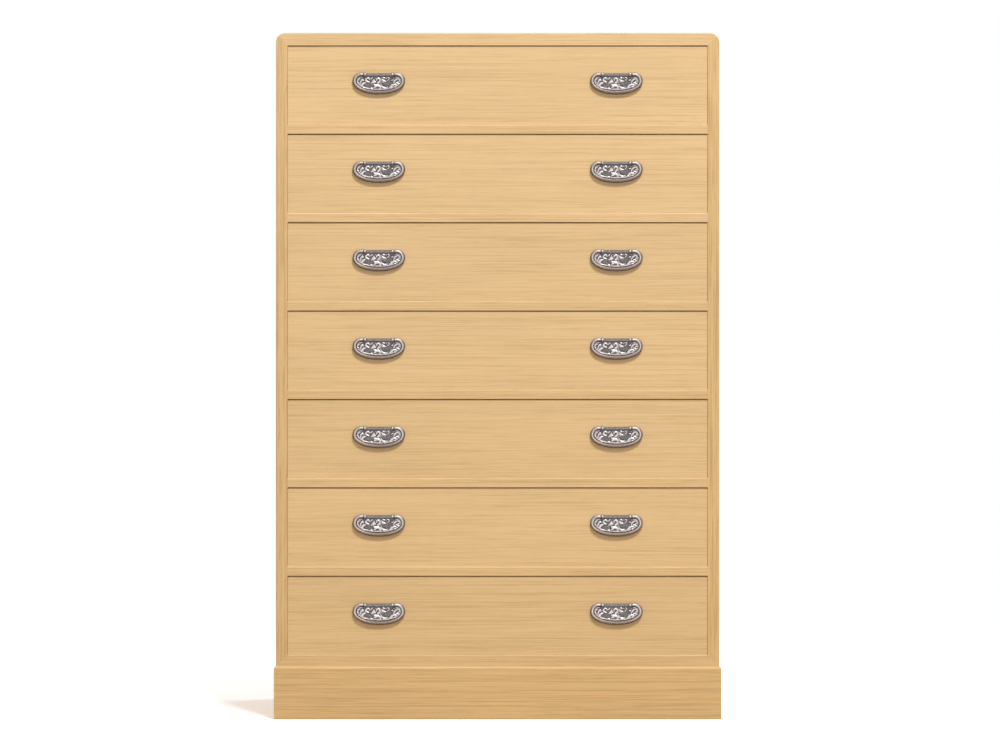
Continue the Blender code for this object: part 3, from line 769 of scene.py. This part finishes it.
class CHEST_OT_back_panel(bpy.types.Operator):
    """Builds the back panel of upright boards with a fine groove along each joint"""

    bl_idname = "chest.back_panel"
    bl_label = "Back panel"

    boards: bpy.props.IntProperty(
        name="Boards", description="Number of boards side by side", default=5, min=1
    )
    groove: length("Groove", "Width of the groove along a joint, and twice its depth", 0.0020)
    variety: share("Variety", "Step in tone from one board to the next", 0.37)

    def execute(self, context):
        woods = context.scene.chest_woods
        low, high = extent("back_panel")
        joints = np.linspace(low[X], high[X], self.boards + 1)
        half = self.groove / 2
        inner = joints[1:-1, None] + (-half, 0, half)
        rear_x = np.concatenate([[low[X]], inner.ravel(), [high[X]]])
        dip = (high[Y], high[Y] - half, high[Y])
        rear_y = np.concatenate([[high[Y]], np.tile(dip, len(inner)), [high[Y]]])
        outline = np.vstack([[low[X], low[Y]], np.column_stack([rear_x, rear_y]), [high[X], low[Y]]])
        rings = upright_rings(outline, low, high)
        shades = (tone() + self.variety * np.arange(self.boards)) % 1
        joint_shades = np.column_stack([shades[:-1], (shades[:-1] + shades[1:]) / 2, shades[1:]])
        shades = np.concatenate([shades[:1], shades[:1], joint_shades.ravel(), shades[-1:], shades[:1]])
        mesh = loft("back_panel_wood", rings, tone=shades)
        material = wood("panel wood upright", Z, woods.panel, woods.case_figure, woods)
        add_piece("back_panel_wood", mesh, material, "case", "back_panel_wood", "back_panel")
        return {"FINISHED"}


class CHEST_OT_plinth(bpy.types.Operator):
    """Builds the plinth: a front and two sides mitred together, and a back between the sides"""

    bl_idname = "chest.plinth"
    bl_label = "Plinth boards"

    chamfer: length("Chamfer", "Width of the chamfer along the upper outer edge", 0.0033)

    def execute(self, context):
        woods = context.scene.chest_woods
        level = wood("plinth wood level", X, woods.plinth, woods.plinth_figure, woods)
        deep = wood("plinth wood deep", Y, woods.plinth, woods.plinth_figure, woods)
        low, high = extent("plinth_front")
        rear = extent("plinth_right")[1][Y]
        thickness = high[Y] - low[Y]
        cut = self.chamfer
        depth = np.array([0, 0, cut, thickness, thickness])
        height = np.array([0, high[Z] - cut, high[Z], high[Z], 0])
        outer = high[X] - depth
        mitred = low[Y] + depth
        square = np.full(len(depth), rear)
        front = np.stack([np.column_stack([side * outer, mitred, height]) for side in (-1, 1)])
        boards = [("front", level, front, 0.0, PLINTH_EASES)]
        for name, side in SIDES:
            rings = np.stack([np.column_stack([side * outer, y, height]) for y in (mitred, square)])
            boards.append((name, deep, rings, 0.0, PLINTH_EASES))
        boards.append(("back", level, box_rings(*extent("plinth_back")), PLINTH_BACK_EASE, 0.0))
        for name, material, rings, end_eases, long_eases in boards:
            ties = (material, "case", "plinth_wood", f"plinth_{name}")
            add_board(f"plinth_{name}_wood", rings, end_eases, long_eases, woods.plinth_ease, *ties)
        return {"FINISHED"}


class CHEST_OT_drawer_fronts(bpy.types.Operator):
    """Builds the drawer fronts: a lip that fills the bay, and a core between the drawer's sides"""

    bl_idname = "chest.drawer_fronts"
    bl_label = "Drawer fronts"

    lip: length("Lip", "Thickness of the front's lip over the drawer's sides", 0.009)
    core_inset: length("Core inset", "From the lip's end to the core", 0.0133)
    core_rise: length("Core rise", "From the lip's foot to the core's, above the drawer's bottom", 0.0073)
    side_ease: share("Side easing", "Share of the easing on the lip's two upright arrises", 0.15)
    spread: length("Spread", "How far each of the lip's ends is past the frame's", 0.00015)

    def execute(self, context):
        woods = context.scene.chest_woods
        material = wood("front wood level", X, woods.front, woods.front_figure, woods)
        for number in range(1, DRAWER_COUNT + 1):
            node = f"drawer_{number}_front"
            low, high = extent(node)
            foot = (low[X] - self.spread, low[Y], low[Z] - JOINT_GAP + REST_GAP)
            lip = box_rings(foot, (high[X] + self.spread, low[Y] + self.lip, high[Z]))
            core_low = (low[X] + self.core_inset, low[Y] + self.lip, low[Z] + self.core_rise)
            core = box_rings(core_low, (high[X] - self.core_inset, high[Y], high[Z]))
            weight = np.zeros((4, 4))
            weight[0] = (LIP_FOOT_EASE, self.side_ease, 1, self.side_ease)
            weight[3] = REAR_EASE
            rings = np.concatenate([lip, core])
            ties = (material, f"drawer_{number}", "drawer_front_wood", node)
            add_board(f"{node}_wood", rings, weight, 0.0, woods.front_ease, *ties)
        return {"FINISHED"}


class CHEST_OT_drawer_boxes(bpy.types.Operator):
    """Builds each drawer's two sides, back and bottom as separate boards"""

    bl_idname = "chest.drawer_boxes"
    bl_label = "Drawer boxes"

    side: length("Sides", "Thickness of a drawer's sides", 0.012)
    back: length("Back", "Thickness of a drawer's back", 0.011)
    bottom: length("Bottom", "Thickness of a drawer's bottom", 0.007)
    back_drop: length("Back drop", "How much lower the back is than the sides", 0.006)

    def execute(self, context):
        woods = context.scene.chest_woods
        deep = wood("box wood deep", Y, woods.inside, woods.case_figure, woods)
        level = wood("box wood level", X, woods.inside, woods.case_figure, woods)
        for number in range(1, DRAWER_COUNT + 1):
            node = f"drawer_{number}_tray"
            low, high = extent(node)
            inner = high[X] - self.side
            floor = low[Z] + self.bottom
            rear = high[Y] - self.back
            boards = (
                ("left_side", deep, low, (-inner, high[Y], high[Z])),
                ("right_side", deep, (inner, low[Y], low[Z]), high),
                ("back", level, (-inner, rear, floor), (inner, high[Y], high[Z] - self.back_drop)),
                ("bottom", level, (-inner, low[Y], low[Z]), (inner, high[Y], floor)),
            )
            for part, material, corner, far_corner in boards:
                rings = box_rings(corner, far_corner)
                ties = (material, f"drawer_{number}", "drawer_box_wood", node)
                add_board(f"drawer_{number}_{part}", rings, BOX_END_EASE, 1.0, woods.box_ease, *ties)
        return {"FINISHED"}


def corner_line():
    """The bail's upper right corner: a quarter circle from its top to its side."""
    angle = np.linspace(pi / 2, 0, CORNER_FACETS)
    return np.column_stack([np.cos(angle), np.sin(angle)]) * PULL_CORNER + (CORNER_X, -PULL_CORNER)


def bow_line():
    """The bail's lower curve from right to left: half of a full ellipse, |x/a|^n + |y/b|^n = 1."""
    angle = np.linspace(0, pi, BOW_POINTS)
    across = np.sign(np.cos(angle)) * np.abs(np.cos(angle)) ** (2 / PULL_FULLNESS)
    down = np.sin(angle) ** (2 / PULL_FULLNESS)
    return np.column_stack([BAIL_X * across, -PULL_CORNER - BOW_DEPTH * down])


def at_hinge(points, hinge):
    """Points of a pull, drawn with X right, Y up and Z out of the drawer, at a hinge of the frame."""
    return hinge + points[..., [0, 2, 1]] * (1, -1, 1)


def bail_rings():
    """Rings of the swinging loop, and their wear with painted highlights and painted shade.

    A lopsided section is carried along pins, arms, corners and bow. Its radius grows from the pin's to the
    bail's round each shoulder, and with the square of the depth below the corners towards the foot."""
    right = np.vstack([[(SHOULDER_X - PIN_LENGTH, 0), (SHOULDER_X, 0)], corner_line()])
    line = np.vstack([right, bow_line()[1:-1], right[::-1] * (-1, 1)])
    travel = np.concatenate([[0], np.cumsum(np.linalg.norm(np.diff(line, axis=0), axis=1))])
    turn = np.linspace(0, pi / 2, SHOULDER_RINGS)
    rounding = BAIL_RADIUS - PIN_RADIUS
    shoulder = PIN_LENGTH + SHOULDER_RUN * rounding * (1 - np.cos(turn))
    run = np.linspace(shoulder[-1], travel[-1] - shoulder[-1], BAIL_RINGS)
    start = np.concatenate([[0], shoulder[:-1]])
    along = np.concatenate([start, run, travel[-1] - start[::-1]])
    pin = np.concatenate([[0], np.sin(turn[:-1])])
    grown = np.concatenate([pin, np.ones(BAIL_RINGS), pin[::-1]])

    x = np.interp(along, travel, line[:, 0])
    y = np.interp(along, travel, line[:, 1])
    depth = np.clip((-PULL_CORNER - y) / BOW_DEPTH, 0, 1)
    radius = PIN_RADIUS + rounding * grown + (BAIL_FOOT_RADIUS - BAIL_RADIUS) * depth**2
    slope = np.column_stack([np.gradient(x), np.gradient(y)])
    slope /= np.linalg.norm(slope, axis=1)[:, None]
    section = through(BAIL_SECTION, SECTION_POINTS, closed=True)
    out = radius[:, None] * section[:, 0]
    across = x[:, None] - slope[:, 1:] * out
    up = y[:, None] + slope[:, :1] * out
    rings = np.stack([across, up, radius[:, None] * section[:, 1]], axis=-1)
    # Blends the wear from the sides' column into the arms' up the corners and into the foot's down the bow.
    # These columns paint highlights where the loop faces up to the lamps and shade where it faces down
    rise = np.clip(1 + y / PULL_CORNER, 0, 1) ** 2
    arm, side, foot = section[:, 2:].T
    wear = side + (arm - side) * rise[:, None] + (foot - side) * depth[:, None]
    return rings, np.clip(wear, 0, 1)


def plate_edges(x):
    """Upper and lower edge of the back plate at each X: bar, corner circles and bow, clear of the bail."""
    inset = BAIL_RADIUS + PLATE_CLEARANCE
    past_corner = np.clip(np.abs(x) - CORNER_X, 0, PULL_CORNER - inset)
    shoulder = np.sqrt((PULL_CORNER - inset) ** 2 - past_corner**2) - PULL_CORNER
    in_bar = smooth_step((PIVOT_X - np.abs(x)) / (0.5 * POST_RADIUS) + 0.5)
    upper = shoulder + (PLATE_BAR_RISE - shoulder) * in_bar
    depth = BOW_DEPTH - BAIL_FOOT_RADIUS - PLATE_CLEARANCE
    left = 1 - np.clip(np.abs(x) / PLATE_X, 0, 1) ** PULL_FULLNESS
    return upper, -PULL_CORNER - depth * left ** (1 / PULL_FULLNESS)


def stroke_height(grid, points):
    """Height of a rounded stroke at each point: a parabola over the distance to its line."""
    line = through(points, STROKE_STEPS)
    start, run = line[:-1, :2], np.diff(line[:, :2], axis=0)
    away = grid[:, None] - start
    along = np.clip((away * run).sum(axis=-1) / (run**2).sum(axis=-1), 0, 1)
    reach = np.linalg.norm(away - along[..., None] * run, axis=-1)
    half = line[:-1, 2] + along * np.diff(line[:, 2])
    return np.clip(1 - (reach / half) ** 2, 0, 1).max(axis=1)


def leaf_height(grid, middle, reach, turn):
    """Height of a lobed leaf at each point: an edge that waves with the angle, and a vein along each lobe.

    It rises from its edge to a level top, and each vein is a groove where the wave is highest."""
    away = (grid - middle) / reach
    angle = np.arctan2(away[:, 1], away[:, 0])
    far = np.linalg.norm(away, axis=1)
    wave = np.cos(LEAF_LOBES * angle + turn)
    ripple = LEAF_RIPPLE_DEPTH * np.cos(LEAF_RIPPLES * LEAF_LOBES * angle)
    edge = 1 + LEAF_LOBE_DEPTH * wave + ripple
    vein = VEIN_DEPTH * smooth_step((wave - 1 + VEIN_WIDTH) / VEIN_WIDTH) * smooth_step(far / LEAF_EDGE)
    return smooth_step((1 - far / edge) / LEAF_EDGE) * (1 - vein)


def plate_rings(pulls):
    """Rings of the back plate with its relief, and the wear and stipple at their points.

    The plate is a grid of columns, closer towards its tips, and of even rows between its two edges. The
    height over the grid is the highest of scrolls, leaves, bar and rim, and falls off along the edge. The
    rim follows the bow at a small distance, as a parabola, and fades along the shoulders."""
    u = np.linspace(-1, 1, PLATE_COLUMNS)
    x = PLATE_X * u * (1 + TIP_CROWDING * (1 - u**4))
    upper, lower = plate_edges(x)
    t = np.linspace(0, 1, PLATE_ROWS)
    y = upper[:, None] + (lower - upper)[:, None] * t
    across = np.broadcast_to(x[:, None], y.shape)
    grid = np.column_stack([across.ravel(), y.ravel()])

    strokes = np.stack([stroke_height(grid / MM, points) for _, points in SCROLLS])
    scroll = strokes.max(axis=0).reshape(y.shape)
    rubbed = np.array([level for level, _ in SCROLLS])[:, None] * smooth_step(SCROLL_RUB * strokes)
    rubbed = rubbed.max(axis=0).reshape(y.shape)
    leaf = np.max([leaf_height(grid / MM, *values) for values in LEAVES], axis=0).reshape(y.shape)
    in_bar = smooth_step((PIVOT_X - np.abs(across)) / POST_RADIUS)
    half_bar = 0.5 * pulls.bar
    in_bar = in_bar * smooth_step((half_bar - np.abs(y - PLATE_BAR_RISE + half_bar)) / BAR_ROUND)
    lean = np.cos(np.arctan(np.gradient(lower, x)))[:, None]
    from_edge = np.minimum(upper[:, None] - y, (y - lower[:, None]) * lean)
    edge = np.sqrt(smooth_step(from_edge / pulls.edge))
    from_corner = np.hypot(np.clip(np.abs(across) - CORNER_X, 0, None), y + PULL_CORNER)
    in_corner = y > -PULL_CORNER
    from_bow = np.where(in_corner, PLATE_X - CORNER_X - from_corner, (y - lower[:, None]) * lean)
    fade = np.where(in_corner, smooth_step((np.abs(across) - PIVOT_X) / (CORNER_X - PIVOT_X)), 1)
    rim = fade * np.clip(1 - ((from_bow - RIM_INSET) / RIM_HALF_WIDTH) ** 2, 0, 1)
    worn_rim = np.where(from_bow < RIM_INSET, fade, rim)
    heights = (
        scroll * pulls.scroll,
        leaf * pulls.leaf_height,
        in_bar * pulls.bar_height,
        rim * pulls.rim_height,
    )
    face = -pulls.ground + np.max(heights, axis=0)
    back = JOINT_GAP - HINGE_STANDOFF
    z = back + (face - back) * (EDGE_THICKNESS + (1 - EDGE_THICKNESS) * edge)

    front = np.stack([across, y, z], axis=-1)
    rear = np.stack(
        [np.column_stack([x, side, np.full(len(x), back)]) for side in (lower, upper)], axis=1
    )
    worn = (SCROLL_WEAR * rubbed, LEAF_WEAR * leaf, BAR_WEAR * in_bar, RIM_WEAR * worn_rim)
    wear = np.max(worn, axis=0) * (EDGE_WEAR + (1 - EDGE_WEAR) * edge)
    none = np.zeros((PLATE_COLUMNS, 2))
    stipple = leaf * (1 - np.clip(STIPPLE_COVER * scroll, 0, 1))
    return np.concatenate([front, rear], axis=1), np.hstack([wear, none]), np.hstack([stipple, none])


def turned_rings(radius, height, across):
    """Rings of a shape turned about an axis along Z at that X, from radii and heights."""
    angle = np.linspace(0, 2 * pi, KNOB_POINTS, endpoint=False)
    radius = np.asarray(radius)[:, None]
    z = np.broadcast_to(np.asarray(height)[:, None], (len(radius), KNOB_POINTS))
    return np.stack([across + radius * np.cos(angle), radius * np.sin(angle), z], axis=-1)


def join(name, meshes):
    """One mesh of several, for like parts that are fixed to the same piece."""
    whole = bmesh.new()
    for mesh in meshes:
        whole.from_mesh(mesh)
    mesh = bpy.data.meshes.new(name)
    whole.to_mesh(mesh)
    whole.free()
    return mesh


class CHEST_OT_plates(bpy.types.Operator):
    """Builds the pulls' back plates with their relief, their knob posts and the screws behind them"""

    bl_idname = "chest.plates"
    bl_label = "Pull plates"

    screw_head: length("Screw head", "Radius of the screws' heads inside the drawer", 0.0040)
    screw_rise: length("Screw rise", "Height of the screws' heads", 0.0024)

    def execute(self, context):
        pulls = context.scene.chest_pulls
        metal = metal_with_wear_and_painted_light("worn dark metal", pulls.dark, pulls.leaf, pulls)
        plate, wear, stipple = plate_rings(pulls)
        front_low, front_high = extent("drawer_1_front")
        inside = HINGE_STANDOFF + front_high[Y] - front_low[Y]
        dome = np.linspace(pi / 2, DOME_CAP_ANGLE, DOME_RINGS)
        neck_radius, neck_height, neck_wear = np.transpose(KNOB_NECK)
        knob_radius = POST_RADIUS * np.concatenate([neck_radius, np.sin(dome)])
        knob_height = np.concatenate([neck_height, POST_CROWN - POST_RADIUS * (1 - np.cos(dome))])
        knob_wear = np.concatenate([neck_wear, np.full(DOME_RINGS, DOME_WEAR)])[:, None]
        head_radius = self.screw_head * np.sin(dome)
        head_height = -inside - self.screw_rise * np.cos(dome)
        for (number, name), hinge in HINGES.items():
            label = f"pull_{number}_{name}"
            ties = (metal, f"drawer_{number}", "pull_plate_metal", f"{label}_plate")
            mesh = loft(f"{label}_relief", at_hinge(plate, hinge), wear=wear, stipple=stipple)
            add_piece(f"{label}_relief", mesh, *ties)
            knobs, screws = [], []
            for side in (-1, 1):
                knob = at_hinge(turned_rings(knob_radius, knob_height, side * PIVOT_X), hinge)
                knobs.append(loft("knob", knob, wear=knob_wear, stipple=0.0))
                screw = at_hinge(turned_rings(head_radius, head_height, side * PIVOT_X), hinge)
                screws.append(loft("screw", screw, wear=SCREW_WEAR, stipple=0.0))
            for part, meshes in (("posts", knobs), ("screws", screws)):
                add_piece(f"{label}_{part}", join(f"{label}_{part}", meshes), *ties)
        return {"FINISHED"}


class CHEST_OT_bails(bpy.types.Operator):
    """Builds the swinging loops of the pulls"""

    bl_idname = "chest.bails"
    bl_label = "Pull bails"

    def execute(self, context):
        pulls = context.scene.chest_pulls
        # The bails' brown colours partly paint the wood's reflection, and their wear also paints highlights
        # and shade
        metal = metal_with_wear_and_painted_light("worn brown metal", pulls.deep_brown, pulls.brown, pulls)
        rings, wear = bail_rings()
        for (number, name), hinge in HINGES.items():
            label = f"pull_{number}_{name}"
            ties = (metal, f"bail_{number}_{name}", "bail_metal", f"{label}_bail")
            mesh = loft(f"{label}_loop", at_hinge(rings, hinge), wear=wear, stipple=0.0)
            add_piece(f"{label}_loop", mesh, *ties)
        return {"FINISHED"}


def add_softbox(name, place, aim_height, size, watts):
    """A rectangular lamp that points from its place to that height in the chest's middle."""
    data = bpy.data.lights.new(name, "AREA")
    data.shape = "RECTANGLE"
    data.size, data.size_y = size
    data.energy = watts
    lamp = bpy.data.objects.new(name, data)
    lamp.location = place
    towards = Vector((0, 0, aim_height)) - Vector(place)
    lamp.rotation_euler = towards.to_track_quat("-Z", "Y").to_euler()
    bpy.context.scene.collection.objects.link(lamp)


class CHEST_OT_stage(bpy.types.Operator):
    """Builds the pale floor, the white backdrop, the soft light and the camera"""

    bl_idname = "chest.stage"
    bl_label = "Stage"

    key: power("Key", "Power of the lamp above the front", 404.0)
    fill: power("Fill", "Power of the lamp before the front", 125.0)
    rear: power("Rear", "Power of each of the two lamps behind", 85.0)

    def execute(self, context):
        stage = context.scene.chest_stage
        front = extent("left_side")[0][Y]
        self.add_floor(stage)
        self.set_world(context.scene, stage)
        for name, lamp, watts in (("key", KEY_LAMP, self.key), ("fill", FILL_LAMP, self.fill)):
            (right, before, up), aim_height, size = lamp
            add_softbox(name, (right, front - before, up), aim_height, size, watts)
        (apart, behind, up), aim_height, size = REAR_LAMP
        for name, side in SIDES:
            add_softbox(f"rear {name}", (side * apart, behind, up), aim_height, size, self.rear)
        data = bpy.data.cameras.new("camera")
        data.sensor_fit = "HORIZONTAL"
        data.sensor_width = SENSOR_WIDTH
        data.lens = SENSOR_WIDTH * stage.distance / (PHOTO_WIDTH * PHOTO_MM_PER_PIXEL * MM)
        camera = bpy.data.objects.new("camera", data)
        camera.location = (stage.eye_across, front - stage.distance, stage.eye_height)
        camera.rotation_euler = (radians(90), 0, 0)
        context.scene.collection.objects.link(camera)
        context.scene.camera = camera
        context.scene.view_settings.view_transform = "Standard"
        return {"FINISHED"}

    def add_floor(self, stage):
        """A round floor that lights the chest warmly, looks white, and fades out into the backdrop."""
        material, tree, shader = new_material("floor")
        place = add_node(tree, "ShaderNodeTexCoord").outputs["Object"]
        far = add_node(tree, "ShaderNodeVectorMath", {0: place}, operation="LENGTH").outputs["Value"]
        fade = (FLOOR_SOLID * stage.floor_radius, stage.floor_radius, 1.0, 0.0)
        solid = remap(tree, far, *fade, interpolation_type="SMOOTHSTEP")
        tree.links.new(solid, shader.inputs["Alpha"])
        pale = (*[stage.floor_seen] * 3, 1.0)
        shades = {0: seen(tree), MIX_FIRST: (*stage.floor, 1.0), MIX_SECOND: pale}
        shade = add_node(tree, "ShaderNodeMix", shades, data_type="RGBA").outputs[MIX_RESULT]
        tree.links.new(shade, shader.inputs["Base Color"])
        shader.inputs["Roughness"].default_value = FLOOR_ROUGHNESS
        shader.inputs["Specular IOR Level"].default_value = FLOOR_SPECULAR
        angle = np.linspace(0, 2 * pi, FLOOR_POINTS, endpoint=False)
        rim = np.column_stack([np.cos(angle), np.sin(angle), np.zeros(len(angle))]) * stage.floor_radius
        mesh = bpy.data.meshes.new("floor")
        mesh.from_pydata(rim, [], [list(range(len(rim)))])
        mesh.materials.append(material)
        floor = bpy.data.objects.new("floor", mesh)
        bpy.context.scene.collection.objects.link(floor)

    def set_world(self, scene, stage):
        """White where a camera or a reflection looks past the chest, and a dimmer, even light elsewhere."""
        world = bpy.data.worlds.new("studio")
        world.use_nodes = True
        scene.world = world
        tree = world.node_tree
        tree.nodes.clear()
        even = add_node(tree, "ShaderNodeBackground", {"Color": WHITE, "Strength": stage.ambient})
        white = add_node(tree, "ShaderNodeBackground", {"Color": WHITE, "Strength": 1.0})
        shades = {0: seen(tree), 1: even.outputs[0], 2: white.outputs[0]}
        mixed = add_node(tree, "ShaderNodeMixShader", shades)
        add_node(tree, "ShaderNodeOutputWorld", {"Surface": mixed.outputs[0]})


class CHEST_PT_looks(bpy.types.Panel):
    """The chest's values and the operators that build its pieces"""

    bl_idname = "CHEST_PT_looks"
    bl_label = "Obi chest"
    bl_space_type = "VIEW_3D"
    bl_region_type = "UI"
    bl_category = "Chest"

    def draw(self, context):
        for group, _ in GROUPS:
            values = getattr(context.scene, group)
            column = self.layout.column(align=True)
            for key in values.__annotations__:
                column.prop(values, key)
        for operator in OPERATORS:
            self.layout.operator(operator.bl_idname)


GROUPS = (("chest_woods", ChestWoods), ("chest_pulls", ChestPulls), ("chest_stage", ChestStage))
OPERATORS = (
    CHEST_OT_case,
    CHEST_OT_shelves,
    CHEST_OT_back_panel,
    CHEST_OT_plinth,
    CHEST_OT_drawer_fronts,
    CHEST_OT_drawer_boxes,
    CHEST_OT_plates,
    CHEST_OT_bails,
    CHEST_OT_stage,
)

# Read from the frame
DRAWER_COUNT = sum(body.startswith("drawer_") for body in frame["bodies"])
HINGES = {
    tuple(joint["child"].split("_")[1:]): np.array(joint["pos_m"])
    for joint in frame["joints"]
    if joint["type"] == "hinge"
}
PULL_LOW, PULL_HIGH = (corner - HINGES["1", "left"] for corner in extent("pull_1_left_bail"))
BAIL_X = PULL_HIGH[X] - BAIL_RADIUS
BOW_DEPTH = -PULL_LOW[Z] - BAIL_FOOT_RADIUS - PULL_CORNER
CORNER_X = BAIL_X - PULL_CORNER
SHOULDER_X = CORNER_X - BAIL_ARM
PIVOT_X = SHOULDER_X - POST_CLEARANCE - POST_RADIUS
PLATE_X = BAIL_X - BAIL_RADIUS - PLATE_CLEARANCE


def register():
    """Makes the groups of values, the operators and the panel known to Blender."""
    for name, group in GROUPS:
        bpy.utils.register_class(group)
        setattr(bpy.types.Scene, name, bpy.props.PointerProperty(type=group))
    for kind in (*OPERATORS, CHEST_PT_looks):
        bpy.utils.register_class(kind)


def unregister():
    """Takes away what register added, in reverse order."""
    for kind in (CHEST_PT_looks, *reversed(OPERATORS)):
        bpy.utils.unregister_class(kind)
    for name, group in reversed(GROUPS):
        delattr(bpy.types.Scene, name)
        bpy.utils.unregister_class(group)


def main():
    """Builds the whole chest and its stage."""
    register()
    for operator in OPERATORS:
        category, name = operator.bl_idname.split(".")
        getattr(getattr(bpy.ops, category), name)()


if __name__ == "__main__":
    main()
